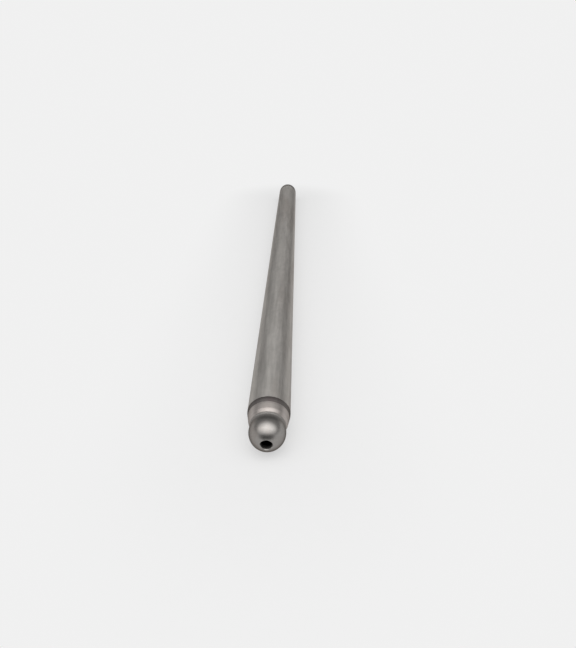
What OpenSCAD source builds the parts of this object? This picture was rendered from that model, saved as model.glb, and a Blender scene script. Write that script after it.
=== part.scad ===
// Engine pushrod: a steel tube with a ball end pressed into one end and a domed end into the other.
// It lies along Y with the ball end towards -Y, and an oil way runs through all three pieces.
// The origin is on the axis, half way along the rod.

/* [Tube] */
// Overall length of the rod, from the rim of one oil hole to the rim of the other
rod_len = 210.3; // [150:0.1:300]
// Outside diameter of the tube
tube_od = 9.525; // [9:0.005:12]
// Wall thickness of the tube
tube_wall = 2.03; // [1.2:0.01:2.6]
// Length over which each end of the tube is rolled in
roll_len = 1.4; // [0.8:0.1:2]
// Depth by which each end of the tube is rolled in
roll_depth = 0.25; // [0.1:0.05:0.6]

/* [Ball end] */
// Diameter of the ball
ball_d = 7.94; // [7.2:0.01:9]
// Distance from the end of the tube to the centre of the ball
ball_reach = 4.6; // [4:0.1:6]
// Largest diameter of the collar, where it seats on the end of the tube
collar_d = 9.15; // [8.7:0.05:9.5]
// Length of the land of the collar
land_len = 1.6; // [1:0.1:2.2]
// Taper, in degrees, by which the land narrows towards the ball
land_taper = 10; // [0:0.5:14]
// Radius of the rounded shoulder in front of the land
shoulder_r = 2.1; // [1.6:0.1:3]
// Slope, in degrees, at which the shoulder leaves the land
shoulder_slope = 17; // [12:1:30]
// Radius of the hollow neck between the shoulder and the ball
neck_hollow_r = 0.45; // [0.2:0.05:0.8]
// Depth by which the hollow of the neck cuts into the shoulder and the ball
neck_bite = 0.03; // [0.01:0.01:0.1]

/* [Domed end] */
// Diameter of the dome
dome_d = 9.4; // [8.6:0.05:9.5]
// Length of the straight rim between the end of the tube and the dome
dome_rim_len = 1.2; // [0.5:0.1:4]

/* [Oil way] */
// Diameter of the drilling through each end
oil_d = 2.4; // [1.2:0.1:3.2]
// Width of the chamfer at the mouth of each drilling
oil_chamfer = 0.2; // [0.1:0.05:0.5]

/* [Press fit] */
// Length of the shank that each end has inside the tube
shank_len = 9; // [5:0.5:20]
// Chamfer on the leading edge of each shank
shank_lead = 0.5; // [0.2:0.1:1]
// Radial gap between a shank and the bore of the tube
press_gap = 0.01; // [0:0.005:0.05]

/* [Hidden] */
$fn = 96;

// Radii of the round surfaces
tube_r = tube_od / 2;
bore_r = tube_r - tube_wall;
shank_r = bore_r - press_gap;
collar_r = collar_d / 2;
ball_r = ball_d / 2;
dome_r = dome_d / 2;
oil_r = oil_d / 2;
oil_mouth_r = oil_r + oil_chamfer;
roll_r = (pow(roll_len, 2) + pow(roll_depth, 2)) / (2 * roll_depth);

// Centres, as [radius, height above the seat], of the arcs of the shoulder and the neck
land_end_r = collar_r - land_len * tan(land_taper);
ball_centre = [0, ball_reach];
shoulder_centre = [
    land_end_r - shoulder_r * cos(shoulder_slope),
    land_len - shoulder_r * sin(shoulder_slope)
];
neck_centre = outer_meeting(
    ball_centre, ball_r + neck_hollow_r - neck_bite,
    shoulder_centre, shoulder_r + neck_hollow_r - neck_bite
);

// How far each end stands out of the tube, to the rim of its oil hole
ball_stand = ball_reach + sqrt(pow(ball_r, 2) - pow(oil_mouth_r, 2));
dome_stand = dome_rim_len + sqrt(pow(dome_r, 2) - pow(oil_mouth_r, 2));

// Places of the two ends of the tube along the rod
tube_front = ball_stand - rod_len / 2;
tube_back = rod_len / 2 - dome_stand;
tube_len = tube_back - tube_front;

// Outer one of the two points that lie at distance ra from a and rb from b
function outer_meeting(a, ra, b, rb) =
    let (gap = norm(b - a), way = (b - a) / gap)
    let (along = (pow(ra, 2) - pow(rb, 2) + pow(gap, 2)) / (2 * gap))
    let (across = sqrt(pow(ra, 2) - pow(along, 2)))
    a + along * way + across * [-way[1], way[0]];

// Half section of the tube wall: straight between two ends that are rolled in along an arc
module tube_section() {
    difference() {
        union() {
            square([tube_r - roll_depth, tube_len]);
            translate([0, roll_len])
                square([tube_r, tube_len - 2 * roll_len]);
            for (roll_start = [roll_len, tube_len - roll_len])
                intersection() {
                    translate([tube_r - roll_r, roll_start])
                        circle(r = roll_r);
                    square([tube_r, tube_len]);
                }
        }
        square([bore_r, tube_len]);
    }
}

// Half section of the shank that is pressed into the tube, rooted in the head up to the given height
module shank_section(root) {
    polygon([
        [0, -shank_len], [shank_r - shank_lead, -shank_len],
        [shank_r, shank_lead - shank_len], [shank_r, root], [0, root]
    ]);
}

// Half section of the drilling from the shank's end to a chamfered mouth at the given height
module oil_way_section(mouth) {
    translate([0, -shank_len])
        square([oil_r, shank_len + mouth]);
    polygon([[0, mouth - oil_chamfer], [oil_r, mouth - oil_chamfer], [oil_mouth_r, mouth], [0, mouth]]);
    translate([0, mouth])
        square([oil_mouth_r, oil_mouth_r]);
}

// Half section of the collar: a tapered land, and a shoulder that rounds it off towards the neck
module collar_section() {
    polygon([[0, 0], [collar_r, 0], [land_end_r, land_len], [0, land_len]]);
    intersection() {
        translate(shoulder_centre)
            circle(r = shoulder_r);
        translate([0, land_len])
            square([land_end_r, shoulder_r]);
    }
}

// Right half of a disc that stands with its centre on the axis
module half_disc(r, height) {
    translate([0, height])
        intersection() {
            circle(r = r);
            translate([0, -r])
                square([r, 2 * r]);
        }
}

// Half section of the ball end: shank, collar, shoulder, hollow neck and ball, from the seat at 0
module ball_end_section() {
    difference() {
        union() {
            shank_section(land_len);
            collar_section();
            polygon([shoulder_centre, neck_centre, ball_centre]);
            half_disc(ball_r, ball_reach);
        }
        translate(neck_centre)
            circle(r = neck_hollow_r);
        oil_way_section(ball_stand);
    }
}

// Half section of the domed end: shank, straight rim and dome, from the seat at 0
module domed_end_section() {
    difference() {
        union() {
            shank_section(dome_rim_len);
            square([dome_r, dome_rim_len]);
            intersection() {
                half_disc(dome_r, dome_rim_len);
                square([dome_r, dome_rim_len + dome_r]);
            }
        }
        oil_way_section(dome_stand);
    }
}

module tube() {
    color("dimgray")
        translate([0, tube_front, 0])
            rotate([-90, 0, 0])
                rotate_extrude()
                    tube_section();
}

module ball_end() {
    color("darkgray")
        translate([0, tube_front, 0])
            rotate([90, 0, 0])
                rotate_extrude()
                    ball_end_section();
}

module domed_end() {
    color("gray")
        translate([0, tube_back, 0])
            rotate([-90, 0, 0])
                rotate_extrude()
                    domed_end_section();
}

tube();
ball_end();
domed_end();
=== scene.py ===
"""Engine pushrod: a ground steel tube with a turned ball tip and a domed tip, on a pale studio floor."""

import math

import bmesh
import bpy
from bpy.props import FloatProperty, FloatVectorProperty, IntProperty, PointerProperty
from mathutils import Matrix, Vector


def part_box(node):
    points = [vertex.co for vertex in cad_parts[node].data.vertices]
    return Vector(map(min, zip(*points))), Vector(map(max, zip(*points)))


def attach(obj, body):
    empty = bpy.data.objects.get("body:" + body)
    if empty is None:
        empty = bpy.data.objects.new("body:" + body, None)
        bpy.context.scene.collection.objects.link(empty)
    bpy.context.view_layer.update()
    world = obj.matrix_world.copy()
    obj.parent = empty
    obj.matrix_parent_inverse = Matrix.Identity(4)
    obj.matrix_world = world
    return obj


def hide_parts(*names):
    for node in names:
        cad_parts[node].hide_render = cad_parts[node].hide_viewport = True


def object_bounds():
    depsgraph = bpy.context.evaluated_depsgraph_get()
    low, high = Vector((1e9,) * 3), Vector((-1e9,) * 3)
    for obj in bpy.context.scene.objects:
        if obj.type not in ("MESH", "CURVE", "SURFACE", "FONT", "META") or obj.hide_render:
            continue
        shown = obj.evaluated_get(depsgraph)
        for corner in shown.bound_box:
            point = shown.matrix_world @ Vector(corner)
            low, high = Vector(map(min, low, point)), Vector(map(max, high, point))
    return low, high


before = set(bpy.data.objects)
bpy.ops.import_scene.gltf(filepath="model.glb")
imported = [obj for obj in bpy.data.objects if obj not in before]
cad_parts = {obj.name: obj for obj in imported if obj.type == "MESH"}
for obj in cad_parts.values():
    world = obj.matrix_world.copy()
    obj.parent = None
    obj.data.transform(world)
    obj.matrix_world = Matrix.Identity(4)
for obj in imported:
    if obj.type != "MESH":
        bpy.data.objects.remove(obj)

bl_info = {
    "name": "Engine Pushrod",
    "version": (1, 0, 0),
    "blender": (4, 5, 0),
    "location": "View3D > Sidebar > Pushrod",
    "description": "Builds a three-piece steel pushrod and the pale studio that shows it",
    "category": "Add Mesh",
}

CAD_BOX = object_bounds()
TUBE_LOW, TUBE_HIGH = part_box("tube")
BALL_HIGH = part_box("ball_end")[1]
DOME_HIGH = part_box("domed_end")[1]
MM = 0.001

# Zones of a piece, by material slot
GROUND, ROLLED = 0, 1
COLLAR, BALL = 0, 1
BORE = 2

# Edges that turn by more than this stay crisp
SHARP_ANGLE = math.radians(35)
# Facets of an edge break, and the most of a side that it takes up
EDGE_STEPS = 6
EDGE_SHARE = 0.4
# Sections along the straight part of the tube
TUBE_BAYS = 24
# Most values of a noise lie between these
NOISE_LOW, NOISE_HIGH = 0.3, 0.7
# Turn of the grain that lays the broad gloss along the rod
GRAIN_TURN = 0.25
# Half the side of the floor, and the height of the camera's sensor in its own millimetres
FLOOR_HALF = 12.0
SENSOR = 36.0


def length(name, description, default):
    """A length in metres that a user may change."""
    return FloatProperty(
        name=name, description=description, default=default, min=0.0,
        subtype="DISTANCE", unit="LENGTH", precision=6,
    )


def angle(name, description, degrees):
    """An angle, given in degrees, that a user may change."""
    return FloatProperty(
        name=name, description=description, default=math.radians(degrees),
        subtype="ANGLE", unit="ROTATION",
    )


def level(name, description, default):
    """A brightness or share that a user may change."""
    return FloatProperty(name=name, description=description, default=default, min=0.0)


def colour(name, description, default):
    """A linear colour that a user may change."""
    return FloatVectorProperty(
        name=name, description=description, default=default, size=3,
        min=0.0, max=1.0, subtype="COLOR",
    )


class TubeSizes(bpy.types.PropertyGroup):
    """Sizes of the tube, and the edges and facets of all the pieces"""

    outer_radius: length("Outer radius", "Outside radius of the tube", TUBE_HIGH.x)
    bore_radius: length("Bore radius", "Radius of the bore of the tube", 2.7325 * MM)
    roll_length: length("Roll length", "Length over which each end is rolled in", 1.4 * MM)
    roll_depth: length("Roll depth", "Depth by which each end is rolled in", 0.25 * MM)
    edge_break: length("Edge break", "Radius that takes the sharpness off each edge", 0.05 * MM)
    segments: IntProperty(
        name="Segments", description="Facets round each turned piece", default=160, min=24,
    )


class BallTipSizes(bpy.types.PropertyGroup):
    """Sizes of the ball tip"""

    ball_radius: length("Ball radius", "Radius of the ball", 3.97 * MM)
    ball_reach: length("Ball reach", "Distance from the end of the tube to the centre of the ball", 4.6 * MM)
    collar_radius: length("Collar radius", "Radius of the collar where it seats on the tube", BALL_HIGH.x)
    land_length: length("Land length", "Length of the tapered land of the collar", 1.6 * MM)
    land_taper: angle("Land taper", "Taper of the land towards the ball", 10)
    shoulder_radius: length("Shoulder radius", "Radius of the rounded shoulder", 2.1 * MM)
    shoulder_slope: angle("Shoulder slope", "Slope at which the shoulder leaves the land", 17)
    hollow_radius: length("Neck hollow", "Radius of the hollow between shoulder and ball", 0.45 * MM)
    hollow_bite: length("Neck bite", "Depth by which the hollow cuts into shoulder and ball", 0.03 * MM)


class DomeTipSizes(bpy.types.PropertyGroup):
    """Sizes of the domed tip, and those that both tips share"""

    dome_radius: length("Dome radius", "Radius of the dome", DOME_HIGH.x)
    rim_length: length("Rim length", "Length of the straight rim behind the dome", 1.2 * MM)
    oil_radius: length("Oil way radius", "Radius of the drilling through each tip", 1.2 * MM)
    oil_chamfer: length("Oil way chamfer", "Width of the chamfer at the mouth of the drilling", 0.2 * MM)
    shank_radius: length("Shank radius", "Radius of the shank inside the tube", 2.7225 * MM)
    shank_length: length("Shank length", "Length of the shank inside the tube", 9.0 * MM)
    shank_lead: length("Shank lead", "Chamfer on the leading edge of the shank", 0.5 * MM)


class RodFinish(bpy.types.PropertyGroup):
    """Colours of the steel"""

    tube: colour("Tube", "Ground steel of the tube", (0.49, 0.47, 0.445))
    rolled: colour("Rolled end", "Heat-tinted steel of the rolled ends", (0.17, 0.158, 0.151))
    patches: colour("Rolled patches", "Purple patches on the rolled ends", (0.13, 0.1, 0.102))
    collar: colour("Collar", "Turned steel of the collar and rim", (0.44, 0.405, 0.383))
    ball: colour("Ball", "Satin steel of the ball and dome", (0.3, 0.287, 0.274))
    heat: colour("Heat tint", "Brown cast that heat treatment left", (0.27, 0.225, 0.2))
    # Brown of the neck: partly the steel's own oxide, partly painted shade in the hollow between shoulder
    # and ball
    oxide_and_painted_shade: colour("Neck oxide", "Brown oxide in the neck of the ball tip", (0.12, 0.095, 0.08))
    bore: colour("Bore", "Dull steel inside the oil way", (0.2, 0.19, 0.18))
    glance: colour("Glance", "Light that the steel sends back at a glancing angle", (0.28, 0.27, 0.26))


class StageSettings(bpy.types.PropertyGroup):
    """Camera, light and floor"""

    eye: FloatVectorProperty(
        name="Eye", description="Place of the camera",
        default=(5.95 * MM, -172.36 * MM, 66.87 * MM), size=3, subtype="TRANSLATION", unit="LENGTH",
    )
    pitch: angle("Pitch", "How far the camera looks down", 29.86)
    yaw: angle("Yaw", "How far the camera looks to the right", -1.27)
    roll: angle("Roll", "How far the camera leans", 0.18)
    focal_share: level("Focal share", "Focal length as a share of the picture's height", 455.0 / 648.0)
    pale: level("Pale", "Brightness of the background", 0.875)
    paper: level("Paper", "Share of light that the floor sends back", 0.75)
    shadow_start: length("Shadow start", "Distance from the rod at which its shadow starts to fade", 6 * MM)
    shadow_end: length("Shadow end", "Distance from the rod at which its shadow is gone", 45 * MM)
    shadow_pale: level("Shadow pale", "Share of the background's brightness that the shadow keeps", 0.55)
    lamp_width: length("Lamp width", "Size of the soft lamp across the rod", 2.4)
    lamp_depth: length("Lamp depth", "Size of the soft lamp along the rod", 1.14)
    lamp_reach: length("Lamp reach", "Distance from the ball tip to the middle of the lamp", 0.6)
    lamp_lean: angle("Lamp lean", "How far the lamp leans from overhead towards the camera", 20)
    lamp_level: level("Lamp level", "Brightness of the middle of the lamp", 2.85)
    room: level("Room", "Brightness of the dim room that the steel mirrors", 0.36)
    room_ends: level("Room ends", "Share of that brightness in line with the rod", 0.12)
    fill: level("Fill", "Brightness of the light from all round on matt surfaces", 0.35)


def arc(centre, radius, start, end, step=3.0):
    """Points of an arc round a centre between two angles in degrees, 0 outwards and 90 upwards."""
    count = max(2, math.ceil(abs(end - start) / step))
    angles = [math.radians(start + (end - start) * i / count) for i in range(count + 1)]
    return [centre + radius * Vector((math.cos(a), math.sin(a))) for a in angles]


def angle_of(centre, point):
    """Angle in degrees at which a point lies round a centre."""
    away = point - centre
    return math.degrees(math.atan2(away.y, away.x))


def meeting(a, ra, b, rb):
    """Outer one of the two points at distance ra from a and rb from b."""
    gap = (b - a).length
    way = (b - a) / gap
    along = (ra * ra - rb * rb + gap * gap) / (2 * gap)
    across = math.sqrt(ra * ra - along * along)
    return a + along * way + across * Vector((-way.y, way.x))


def softened(corners):
    """Outline of (point, zone) from corners of (point, edge break, zone), with an arc for each break."""
    outline = []
    for i, (point, edge, zone) in enumerate(corners):
        if not edge:
            outline.append((point, zone))
            continue
        point_before, _, zone_before = corners[i - 1]
        point_after = corners[(i + 1) % len(corners)][0]
        before = point_before - point
        after = point_after - point
        half = before.angle(after) / 2
        reach = min(edge / math.tan(half), EDGE_SHARE * before.length, EDGE_SHARE * after.length)
        before.normalize()
        after.normalize()
        centre = point + (before + after).normalized() * reach / math.cos(half)
        start = point + before * reach - centre
        end = point + after * reach - centre
        for k in range(EDGE_STEPS + 1):
            spoke = start.lerp(end, k / EDGE_STEPS).normalized() * start.length
            outline.append((centre + spoke, zone_before if k < EDGE_STEPS // 2 else zone))
    return outline


def turned(name, corners, seat, way, finishes, segments):
    """A piece turned round the rod's axis from an outline of points (radius, height above its seat)."""
    outline = softened(corners)
    turns = [2 * math.pi * k / segments for k in range(segments)]
    work = bmesh.new()
    rings = []
    for point, _ in outline:
        y = seat + way * point.y
        rings.append([work.verts.new((point.x * math.sin(t), y, point.x * math.cos(t))) for t in turns])
    for i, (_, zone) in enumerate(outline):
        ring = rings[i]
        following = rings[(i + 1) % len(rings)]
        for k in range(segments):
            j = (k + 1) % segments
            face = work.faces.new((ring[k], ring[j], following[j], following[k]))
            face.material_index = zone
            face.smooth = True
    bmesh.ops.recalc_face_normals(work, faces=work.faces)
    mesh = bpy.data.meshes.new(name)
    work.to_mesh(mesh)
    work.free()
    mesh.set_sharp_from_angle(angle=SHARP_ANGLE)
    for finish in finishes:
        mesh.materials.append(finish)
    piece = bpy.data.objects.new(name, mesh)
    bpy.context.scene.collection.objects.link(piece)
    return piece


def shank_corners(sizes, edge):
    """Corners of the shank of a tip, from the end of its drilling to its seat."""
    return [
        (Vector((sizes.oil_radius, -sizes.shank_length)), 0.0, COLLAR),
        (Vector((sizes.shank_radius - sizes.shank_lead, -sizes.shank_length)), edge, COLLAR),
        (Vector((sizes.shank_radius, sizes.shank_lead - sizes.shank_length)), edge, COLLAR),
        (Vector((sizes.shank_radius, 0.0)), 0.0, COLLAR),
    ]


def mouth_rim(sizes, radius, centre):
    """Corner where the mouth of the oil way meets a ball of the given radius and centre."""
    across = sizes.oil_radius + sizes.oil_chamfer
    return Vector((across, centre.y + math.sqrt(radius ** 2 - across ** 2)))


def mouth_corners(sizes, rim, edge):
    """Corners of the chamfered mouth of the oil way, down into its drilling."""
    return [
        (rim, edge, BALL),
        (Vector((sizes.oil_radius, rim.y - sizes.oil_chamfer)), edge, BORE),
    ]


def neck_arcs(sizes):
    """End of the collar's land and the centres of the arcs of shoulder, neck and ball, above the seat."""
    taper_in = sizes.land_length * math.tan(sizes.land_taper)
    land_end = Vector((sizes.collar_radius - taper_in, sizes.land_length))
    slope = Vector((math.cos(sizes.shoulder_slope), math.sin(sizes.shoulder_slope)))
    shoulder = land_end - sizes.shoulder_radius * slope
    ball = Vector((0.0, sizes.ball_reach))
    gap = sizes.hollow_radius - sizes.hollow_bite
    hollow = meeting(ball, sizes.ball_radius + gap, shoulder, sizes.shoulder_radius + gap)
    return land_end, shoulder, hollow, ball


def node(tree, kind, inputs=None, **settings):
    """A new shader node with its settings, and its inputs set or linked."""
    made = tree.nodes.new(kind)
    for key, value in settings.items():
        setattr(made, key, value)
    for key, value in (inputs or {}).items():
        if isinstance(value, bpy.types.NodeSocket):
            tree.links.new(value, made.inputs[key])
        else:
            made.inputs[key].default_value = value
    return made


def new_steel(name, finish):
    """A material with a metallic shader, and the tree and coordinates that feed it."""
    material = bpy.data.materials.new(name)
    material.use_nodes = True
    tree = material.node_tree
    tree.nodes.clear()
    shader = node(tree, "ShaderNodeBsdfPrincipled", {"Metallic": 1.0, "Specular Tint": rgba(finish.glance)})
    node(tree, "ShaderNodeOutputMaterial", {"Surface": shader.outputs[0]})
    place = node(tree, "ShaderNodeTexCoord").outputs["Object"]
    return material, tree, shader, place


def noise(tree, place, across, along, detail=3.0, roughness=0.55):
    """Noise over the rod's own coordinates, with its cycles a metre across and along the rod."""
    stretch = (across, along, across)
    scaled = node(tree, "ShaderNodeVectorMath", {0: place, 1: stretch}, operation="MULTIPLY").outputs[0]
    inputs = {"Vector": scaled, "Scale": 1.0, "Detail": detail, "Roughness": roughness}
    return node(tree, "ShaderNodeTexNoise", inputs).outputs[0]


def remap(tree, value, low, high, to_low, to_high, smooth=False):
    """A value carried from one range to another, and held at its ends."""
    return node(
        tree, "ShaderNodeMapRange", {0: value, 1: low, 2: high, 3: to_low, 4: to_high},
        interpolation_type="SMOOTHSTEP" if smooth else "LINEAR",
    ).outputs[0]


def spread(tree, pattern, low, high):
    """A noise spread over a range."""
    return remap(tree, pattern, NOISE_LOW, NOISE_HIGH, low, high)


def patchy(tree, pattern, start, full, most):
    """A share that is 0 where a noise is below start, and grows to the most where it is full."""
    return remap(tree, pattern, start, full, 0.0, most, smooth=True)


def calc(tree, operation, *values):
    """Values joined by one operation."""
    return node(tree, "ShaderNodeMath", dict(enumerate(values)), operation=operation).outputs[0]


def blended(tree, share, a, b):
    """Two numbers mixed by a share."""
    return node(tree, "ShaderNodeMix", {0: share, 2: a, 3: b}).outputs[0]


def mixed(tree, share, a, b):
    """Two colours mixed by a share."""
    return node(tree, "ShaderNodeMix", {0: share, 6: a, 7: b}, data_type="RGBA").outputs[2]


def rgba(plain):
    """A colour with full alpha."""
    return (*plain, 1.0)


def toned(tree, base, tone):
    """A colour made lighter or darker by a tone round 1."""
    return node(tree, "ShaderNodeVectorMath", {0: base, 3: tone}, operation="SCALE").outputs[0]


def along_rod(tree, place):
    """Position along the rod."""
    return node(tree, "ShaderNodeSeparateXYZ", {0: place}).outputs[1]


def near_neck(tree, place, neck, reach):
    """1 in the neck of the ball tip, fading to 0 at a reach along the rod from it."""
    away = calc(tree, "ABSOLUTE", calc(tree, "SUBTRACT", along_rod(tree, place), neck))
    return remap(tree, away, 0.0, reach, 1.0, 0.0, smooth=True)


def bumped(tree, height, strength, distance):
    """Normals from a height map."""
    inputs = {"Height": height, "Strength": strength, "Distance": distance}
    return node(tree, "ShaderNodeBump", inputs).outputs[0]


def set_grain(tree, shader, strength):
    """Gives a shader a grain that runs round the rod, so that its gloss spreads along it."""
    shader.inputs["Anisotropic"].default_value = strength
    shader.inputs["Anisotropic Rotation"].default_value = GRAIN_TURN
    around = node(tree, "ShaderNodeTangent", direction_type="RADIAL", axis="Y").outputs[0]
    tree.links.new(around, shader.inputs["Tangent"])


def ground_steel(finish):
    """Ground tube: broken streaks along the length, a fine mottle and faint brown clouds."""
    material, tree, shader, place = new_steel("ground_tube", finish)
    streaks = noise(tree, place, across=1300.0, along=90.0, detail=5.0, roughness=0.65)
    mottle = noise(tree, place, across=800.0, along=400.0, detail=4.0, roughness=0.65)
    rings = noise(tree, place, across=40.0, along=5200.0, detail=2.0)
    clouds = noise(tree, place, across=150.0, along=26.0)
    tone = calc(tree, "MULTIPLY", spread(tree, streaks, 0.89, 1.11), spread(tree, mottle, 0.93, 1.07))
    brown = patchy(tree, clouds, start=0.48, full=0.72, most=0.3)
    base = mixed(tree, brown, rgba(finish.tube), rgba(finish.heat))
    tree.links.new(toned(tree, base, tone), shader.inputs["Base Color"])
    tree.links.new(spread(tree, streaks, 0.42, 0.48), shader.inputs["Roughness"])
    streak_share = 0.6
    height = calc(tree, "ADD", rings, calc(tree, "MULTIPLY", streaks, streak_share))
    tree.links.new(bumped(tree, height, strength=0.15, distance=0.004 * MM), shader.inputs["Normal"])
    set_grain(tree, shader, strength=0.8)
    return material


def rolled_steel(finish):
    """Rolled-in end of the tube: smooth, dark and tinted brown to purple by heat."""
    material, tree, shader, place = new_steel("rolled_end", finish)
    clouds = noise(tree, place, across=330.0, along=120.0)
    rings = noise(tree, place, across=60.0, along=6000.0, detail=2.0)
    purple = patchy(tree, clouds, start=0.45, full=0.7, most=0.6)
    base = mixed(tree, purple, rgba(finish.rolled), rgba(finish.patches))
    tree.links.new(toned(tree, base, spread(tree, rings, 0.86, 1.1)), shader.inputs["Base Color"])
    tree.links.new(spread(tree, clouds, 0.46, 0.54), shader.inputs["Roughness"])
    tree.links.new(bumped(tree, rings, strength=0.3, distance=0.003 * MM), shader.inputs["Normal"])
    return material


def turned_steel(finish, neck):
    """Turned collar: fine tool marks round the axis, a faint pink cast, and towards the neck a brown that is
    partly oxide and partly painted shade.
    """
    material, tree, shader, place = new_steel("turned_collar", finish)
    marks = noise(tree, place, across=70.0, along=2600.0, detail=4.0, roughness=0.65)
    clouds = noise(tree, place, across=260.0, along=260.0)
    brown = patchy(tree, clouds, start=0.45, full=0.75, most=0.4)
    base = mixed(tree, brown, rgba(finish.collar), rgba(finish.heat))
    # Painted shade together with real oxide: the shoulder is darkened brown towards the neck hollow
    most_oxide_and_shade = 0.35
    oxide_and_painted_shade = calc(tree, "MULTIPLY", near_neck(tree, place, neck, reach=0.85 * MM), most_oxide_and_shade)
    base = mixed(tree, oxide_and_painted_shade, base, rgba(finish.oxide_and_painted_shade))
    tree.links.new(toned(tree, base, spread(tree, marks, 0.84, 1.14)), shader.inputs["Base Color"])
    tree.links.new(spread(tree, marks, 0.34, 0.44), shader.inputs["Roughness"])
    tree.links.new(bumped(tree, marks, strength=0.5, distance=0.008 * MM), shader.inputs["Normal"])
    set_grain(tree, shader, strength=0.7)
    return material


def satin_steel(finish, neck):
    """Satin ball and dome: a fine even skin with faint brown clouds, left rougher in the neck."""
    material, tree, shader, place = new_steel("satin_ball", finish)
    skin = noise(tree, place, across=2400.0, along=2400.0)
    clouds = noise(tree, place, across=230.0, along=230.0)
    brown = patchy(tree, clouds, start=0.45, full=0.75, most=0.4)
    base = mixed(tree, brown, rgba(finish.ball), rgba(finish.heat))
    tree.links.new(toned(tree, base, spread(tree, skin, 0.94, 1.05)), shader.inputs["Base Color"])
    satin = spread(tree, clouds, 0.26, 0.31)
    most_coarse = 0.42
    coarse = calc(tree, "MULTIPLY", near_neck(tree, place, neck, reach=2.1 * MM), most_coarse)
    tree.links.new(calc(tree, "ADD", satin, coarse), shader.inputs["Roughness"])
    tree.links.new(bumped(tree, skin, strength=0.3, distance=0.004 * MM), shader.inputs["Normal"])
    return material


def bore_steel(finish):
    """Dull drilled wall of the oil way, with painted shade that darkens it away from its mouths."""
    material, tree, shader, place = new_steel("drilled_bore", finish)
    marks = noise(tree, place, across=400.0, along=3000.0)
    from_middle = calc(tree, "ABSOLUTE", along_rod(tree, place))
    # Painted shade: the wall's colour is darkened towards the middle of the drilling
    deep = CAD_BOX[1].y - 1.4 * MM
    shallow = CAD_BOX[1].y - 0.3 * MM
    darkest_painted_shade = 0.06
    depth = remap(tree, from_middle, deep, shallow, darkest_painted_shade, 1.0, smooth=True)
    tone = calc(tree, "MULTIPLY", depth, spread(tree, marks, 0.8, 1.2))
    tree.links.new(toned(tree, finish.bore, tone), shader.inputs["Base Color"])
    tree.links.new(spread(tree, marks, 0.5, 0.65), shader.inputs["Roughness"])
    return material


def steel(name, maker, *values):
    """A finish that is made once and then shared by the pieces."""
    return bpy.data.materials.get(name) or maker(*values)


def tip_finishes(scene):
    """Finishes of both tips, in the order of their zones."""
    finish = scene.pushrod_finish
    hollow = neck_arcs(scene.pushrod_ball_tip)[2]
    neck = TUBE_LOW.y - hollow.y
    return [
        steel("turned_collar", turned_steel, finish, neck),
        steel("satin_ball", satin_steel, finish, neck),
        steel("drilled_bore", bore_steel, finish),
    ]


class PUSHROD_OT_tube(bpy.types.Operator):
    """Turn the tube with its bore and rolled-in ends"""

    bl_idname = "pushrod.tube"
    bl_label = "Build Tube"

    def execute(self, context):
        sizes = context.scene.pushrod_tube
        finish = context.scene.pushrod_finish
        edge = sizes.edge_break
        span = TUBE_HIGH.y - TUBE_LOW.y
        roll_radius = (sizes.roll_length ** 2 + sizes.roll_depth ** 2) / (2 * sizes.roll_depth)
        roll_sweep = math.degrees(math.asin(sizes.roll_length / roll_radius))
        front_centre = Vector((sizes.outer_radius - roll_radius, sizes.roll_length))
        back_centre = Vector((sizes.outer_radius - roll_radius, span - sizes.roll_length))
        front = arc(front_centre, roll_radius, -roll_sweep, 0.0, step=2.0)
        back = arc(back_centre, roll_radius, 0.0, roll_sweep, step=2.0)
        bay = (back[0] - front[-1]) / TUBE_BAYS
        corners = [(Vector((sizes.bore_radius, 0.0)), edge, ROLLED)]
        corners.append((front[0], edge, ROLLED))
        corners += [(point, 0.0, ROLLED) for point in front[1:-1]]
        corners += [(front[-1] + bay * i, 0.0, GROUND) for i in range(TUBE_BAYS)]
        corners += [(point, 0.0, ROLLED) for point in back[:-1]]
        corners.append((back[-1], edge, ROLLED))
        corners.append((Vector((sizes.bore_radius, span)), edge, BORE))
        finishes = [
            steel("ground_tube", ground_steel, finish),
            steel("rolled_end", rolled_steel, finish),
            steel("drilled_bore", bore_steel, finish),
        ]
        piece = turned("tube_body", corners, TUBE_LOW.y, 1.0, finishes, sizes.segments)
        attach(piece, "root")
        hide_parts("tube")
        return {"FINISHED"}


class PUSHROD_OT_ball_tip(bpy.types.Operator):
    """Turn the tip with its shank, tapered collar, rounded shoulder, hollow neck and drilled ball"""

    bl_idname = "pushrod.ball_tip"
    bl_label = "Build Ball Tip"

    def execute(self, context):
        sizes = context.scene.pushrod_ball_tip
        shared = context.scene.pushrod_dome_tip
        edge = context.scene.pushrod_tube.edge_break
        land_end, shoulder, hollow, ball = neck_arcs(sizes)
        low = meeting(hollow, sizes.hollow_radius, shoulder, sizes.shoulder_radius)
        high = meeting(ball, sizes.ball_radius, hollow, sizes.hollow_radius)
        rim = mouth_rim(shared, sizes.ball_radius, ball)
        slope = math.degrees(sizes.shoulder_slope)
        dip_start = angle_of(hollow, low) % 360
        dip_end = angle_of(hollow, high) % 360
        rise = arc(shoulder, sizes.shoulder_radius, slope, angle_of(shoulder, low))
        dip = arc(hollow, sizes.hollow_radius, dip_start, dip_end, step=8.0)
        top = arc(ball, sizes.ball_radius, angle_of(ball, high), angle_of(ball, rim), step=2.0)
        corners = shank_corners(shared, edge)
        corners.append((Vector((sizes.collar_radius, 0.0)), edge, COLLAR))
        corners.append((land_end, 0.0, COLLAR))
        corners += [(point, 0.0, COLLAR) for point in rise[1:-1]]
        corners += [(point, 0.0, BALL) for point in rise[-1:] + dip[1:] + top[1:-1]]
        corners += mouth_corners(shared, rim, edge)
        finishes = tip_finishes(context.scene)
        segments = context.scene.pushrod_tube.segments
        piece = turned("ball_tip", corners, TUBE_LOW.y, -1.0, finishes, segments)
        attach(piece, "root")
        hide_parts("ball_end")
        return {"FINISHED"}


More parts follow.
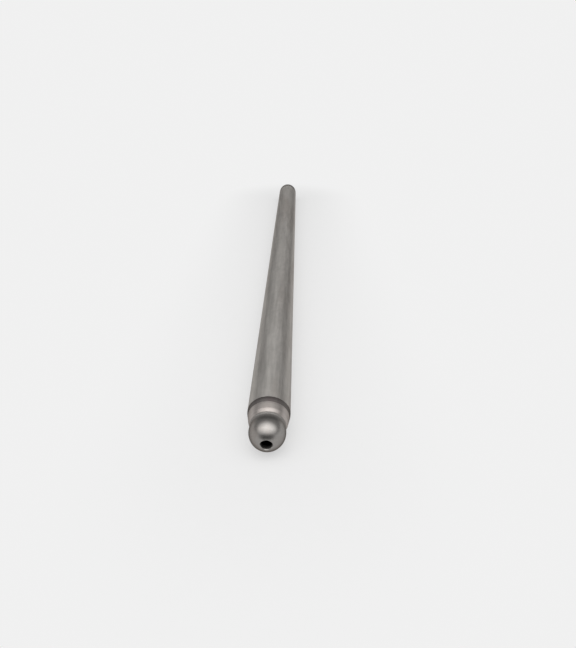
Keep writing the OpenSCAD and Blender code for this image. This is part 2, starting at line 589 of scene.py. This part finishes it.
class PUSHROD_OT_dome_tip(bpy.types.Operator):
    """Turn the tip with its shank, straight rim and drilled dome"""

    bl_idname = "pushrod.dome_tip"
    bl_label = "Build Domed Tip"

    def execute(self, context):
        sizes = context.scene.pushrod_dome_tip
        edge = context.scene.pushrod_tube.edge_break
        dome = Vector((0.0, sizes.rim_length))
        rim = mouth_rim(sizes, sizes.dome_radius, dome)
        top = arc(dome, sizes.dome_radius, 0.0, angle_of(dome, rim), step=2.0)
        corners = shank_corners(sizes, edge)
        corners.append((Vector((sizes.dome_radius, 0.0)), edge, COLLAR))
        corners += [(point, 0.0, BALL) for point in top[:-1]]
        corners += mouth_corners(sizes, rim, edge)
        finishes = tip_finishes(context.scene)
        segments = context.scene.pushrod_tube.segments
        piece = turned("dome_tip", corners, TUBE_HIGH.y, 1.0, finishes, segments)
        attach(piece, "root")
        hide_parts("domed_end")
        return {"FINISHED"}


def floor_paper(stage, half_length):
    """Pale paper that takes the rod's shadow and runs out into the background."""
    material = bpy.data.materials.new("floor_paper")
    material.use_nodes = True
    tree = material.node_tree
    tree.nodes.clear()
    place = node(tree, "ShaderNodeTexCoord").outputs["Object"]
    fibres = noise(tree, place, across=320.0, along=320.0, detail=4.0)
    sheet = toned(tree, (stage.paper, stage.paper, stage.paper), spread(tree, fibres, 0.993, 1.007))
    lit = node(tree, "ShaderNodeBsdfDiffuse", {"Color": sheet})
    far = node(tree, "ShaderNodeEmission", {"Color": (stage.pale, stage.pale, stage.pale, 1.0)})
    axes = node(tree, "ShaderNodeSeparateXYZ", {0: place})
    past_end = calc(tree, "SUBTRACT", calc(tree, "ABSOLUTE", axes.outputs[1]), half_length)
    aside = node(tree, "ShaderNodeCombineXYZ", {0: axes.outputs[0], 1: calc(tree, "MAXIMUM", past_end, 0.0)})
    away = node(tree, "ShaderNodeVectorMath", {0: aside.outputs[0]}, operation="LENGTH").outputs[1]
    fade = remap(tree, away, stage.shadow_start, stage.shadow_end, stage.shadow_pale, 1.0, smooth=True)
    path = node(tree, "ShaderNodeLightPath")
    seen = calc(tree, "MAXIMUM", path.outputs["Is Camera Ray"], path.outputs["Is Glossy Ray"])
    seen = calc(tree, "MAXIMUM", seen, path.outputs["Is Transmission Ray"])
    share = calc(tree, "MULTIPLY", fade, seen)
    mix = node(tree, "ShaderNodeMixShader", {0: share, 1: lit.outputs[0], 2: far.outputs[0]})
    node(tree, "ShaderNodeOutputMaterial", {"Surface": mix.outputs[0]})
    return material


def lay_floor(scene, stage):
    """Lays the floor under the tube."""
    mesh = bpy.data.meshes.new("floor")
    work = bmesh.new()
    bmesh.ops.create_grid(work, x_segments=8, y_segments=8, size=FLOOR_HALF)
    work.to_mesh(mesh)
    work.free()
    mesh.materials.append(floor_paper(stage, CAD_BOX[1].y))
    floor = bpy.data.objects.new("floor", mesh)
    floor.location.z = -scene.pushrod_tube.outer_radius
    scene.collection.objects.link(floor)


def light_room(scene, stage):
    """Pale horizon, a dimmer room above it and past the rod's ends, and an even fill for matt surfaces."""
    world = bpy.data.worlds.new("studio")
    scene.world = world
    world.use_nodes = True
    tree = world.node_tree
    tree.nodes.clear()
    way = node(tree, "ShaderNodeTexCoord").outputs["Generated"]
    axes = node(tree, "ShaderNodeSeparateXYZ", {0: way})
    # Upward and lengthways parts of a direction between which the room dims
    horizon, overhead = 0.1, 0.36
    sides, ends = 0.55, 0.95
    sky = remap(tree, axes.outputs[2], horizon, overhead, stage.pale, stage.room, smooth=True)
    lengthways = calc(tree, "ABSOLUTE", axes.outputs[1])
    dimming = remap(tree, lengthways, sides, ends, 1.0, stage.room_ends, smooth=True)
    mirrored = calc(tree, "MULTIPLY", sky, dimming)
    path = node(tree, "ShaderNodeLightPath")
    seen = calc(tree, "MAXIMUM", path.outputs["Is Camera Ray"], path.outputs["Is Transmission Ray"])
    strength = blended(tree, path.outputs["Is Glossy Ray"], stage.fill, mirrored)
    strength = blended(tree, seen, strength, stage.pale)
    back = node(tree, "ShaderNodeBackground", {"Color": (1.0, 1.0, 1.0, 1.0), "Strength": strength})
    node(tree, "ShaderNodeOutputWorld", {"Surface": back.outputs[0]})


def soft_edges(lamp):
    """Lets the face of a lamp fade out evenly from its middle to its edges."""
    lamp.use_nodes = True
    tree = lamp.node_tree
    tree.nodes.clear()
    face = node(tree, "ShaderNodeNewGeometry").outputs["Parametric"]
    sides = node(tree, "ShaderNodeSeparateXYZ", {0: face}).outputs[:2]
    middle = 0.5
    fades = []
    for side in sides:
        out = calc(tree, "ABSOLUTE", calc(tree, "SUBTRACT", side, middle))
        fades.append(remap(tree, out, 0.0, middle, 1.0, 0.0))
    glow = node(tree, "ShaderNodeEmission", {"Strength": calc(tree, "MULTIPLY", *fades)})
    node(tree, "ShaderNodeOutputLight", {"Surface": glow.outputs[0]})


def hang_lamp(scene, stage):
    """Hangs a soft lamp over the ball tip, leaning towards the camera."""
    lamp = bpy.data.lights.new("softbox", "AREA")
    lamp.shape = "RECTANGLE"
    lamp.size = stage.lamp_width
    lamp.size_y = stage.lamp_depth
    lamp.energy = stage.lamp_level * math.pi * stage.lamp_width * stage.lamp_depth
    soft_edges(lamp)
    softbox = bpy.data.objects.new("softbox", lamp)
    up = Vector((0.0, -math.sin(stage.lamp_lean), math.cos(stage.lamp_lean)))
    softbox.location = Vector((0.0, TUBE_LOW.y, 0.0)) + stage.lamp_reach * up
    softbox.rotation_euler = up.to_track_quat("Z", "Y").to_euler()
    scene.collection.objects.link(softbox)


def set_camera(scene, stage):
    """Sets the camera in front of the ball tip, looking down along the rod."""
    camera = bpy.data.cameras.new("camera")
    camera.sensor_fit = "VERTICAL"
    camera.sensor_height = SENSOR
    camera.lens = stage.focal_share * SENSOR
    camera.clip_start = 2 * MM
    camera.clip_end = 5 * FLOOR_HALF
    ahead = Vector((math.sin(stage.yaw), math.cos(stage.yaw), 0.0))
    forward = math.cos(stage.pitch) * ahead - math.sin(stage.pitch) * Vector((0.0, 0.0, 1.0))
    level_right = Vector((math.cos(stage.yaw), -math.sin(stage.yaw), 0.0))
    level_down = forward.cross(level_right)
    right = math.cos(stage.roll) * level_right + math.sin(stage.roll) * level_down
    down = math.cos(stage.roll) * level_down - math.sin(stage.roll) * level_right
    turn = Matrix((right, -down, -forward)).transposed().to_4x4()
    eye = bpy.data.objects.new("camera", camera)
    eye.matrix_world = Matrix.Translation(stage.eye) @ turn
    scene.collection.objects.link(eye)
    scene.camera = eye


class PUSHROD_OT_stage(bpy.types.Operator):
    """Lay the floor under the rod, light it softly from above and set the camera"""

    bl_idname = "pushrod.stage"
    bl_label = "Build Stage"

    def execute(self, context):
        scene = context.scene
        stage = scene.pushrod_stage
        scene.view_settings.view_transform = "Standard"
        lay_floor(scene, stage)
        light_room(scene, stage)
        hang_lamp(scene, stage)
        set_camera(scene, stage)
        return {"FINISHED"}


class VIEW3D_PT_pushrod(bpy.types.Panel):
    """Sizes, colours and steps of the pushrod"""

    bl_label = "Engine Pushrod"
    bl_idname = "VIEW3D_PT_pushrod"
    bl_space_type = "VIEW_3D"
    bl_region_type = "UI"
    bl_category = "Pushrod"

    def draw(self, context):
        for title, name, step in STEPS:
            box = self.layout.box()
            box.label(text=title)
            group = getattr(context.scene, name)
            for key in group.bl_rna.properties.keys():
                if key not in ("rna_type", "name"):
                    box.prop(group, key)
            if step:
                box.operator(step)


STEPS = (
    ("Finish", "pushrod_finish", None),
    ("Tube", "pushrod_tube", "pushrod.tube"),
    ("Ball tip", "pushrod_ball_tip", "pushrod.ball_tip"),
    ("Domed tip", "pushrod_dome_tip", "pushrod.dome_tip"),
    ("Stage", "pushrod_stage", "pushrod.stage"),
)
GROUPS = {
    "pushrod_finish": RodFinish,
    "pushrod_tube": TubeSizes,
    "pushrod_ball_tip": BallTipSizes,
    "pushrod_dome_tip": DomeTipSizes,
    "pushrod_stage": StageSettings,
}
OTHERS = (PUSHROD_OT_tube, PUSHROD_OT_ball_tip, PUSHROD_OT_dome_tip, PUSHROD_OT_stage, VIEW3D_PT_pushrod)


def register():
    for name, group in GROUPS.items():
        bpy.utils.register_class(group)
        setattr(bpy.types.Scene, name, PointerProperty(type=group))
    for other in OTHERS:
        bpy.utils.register_class(other)


def unregister():
    for other in reversed(OTHERS):
        bpy.utils.unregister_class(other)
    for name, group in reversed(GROUPS.items()):
        delattr(bpy.types.Scene, name)
        bpy.utils.unregister_class(group)


def main():
    register()
    bpy.ops.pushrod.tube()
    bpy.ops.pushrod.ball_tip()
    bpy.ops.pushrod.dome_tip()
    bpy.ops.pushrod.stage()


if __name__ == "__main__":
    main()
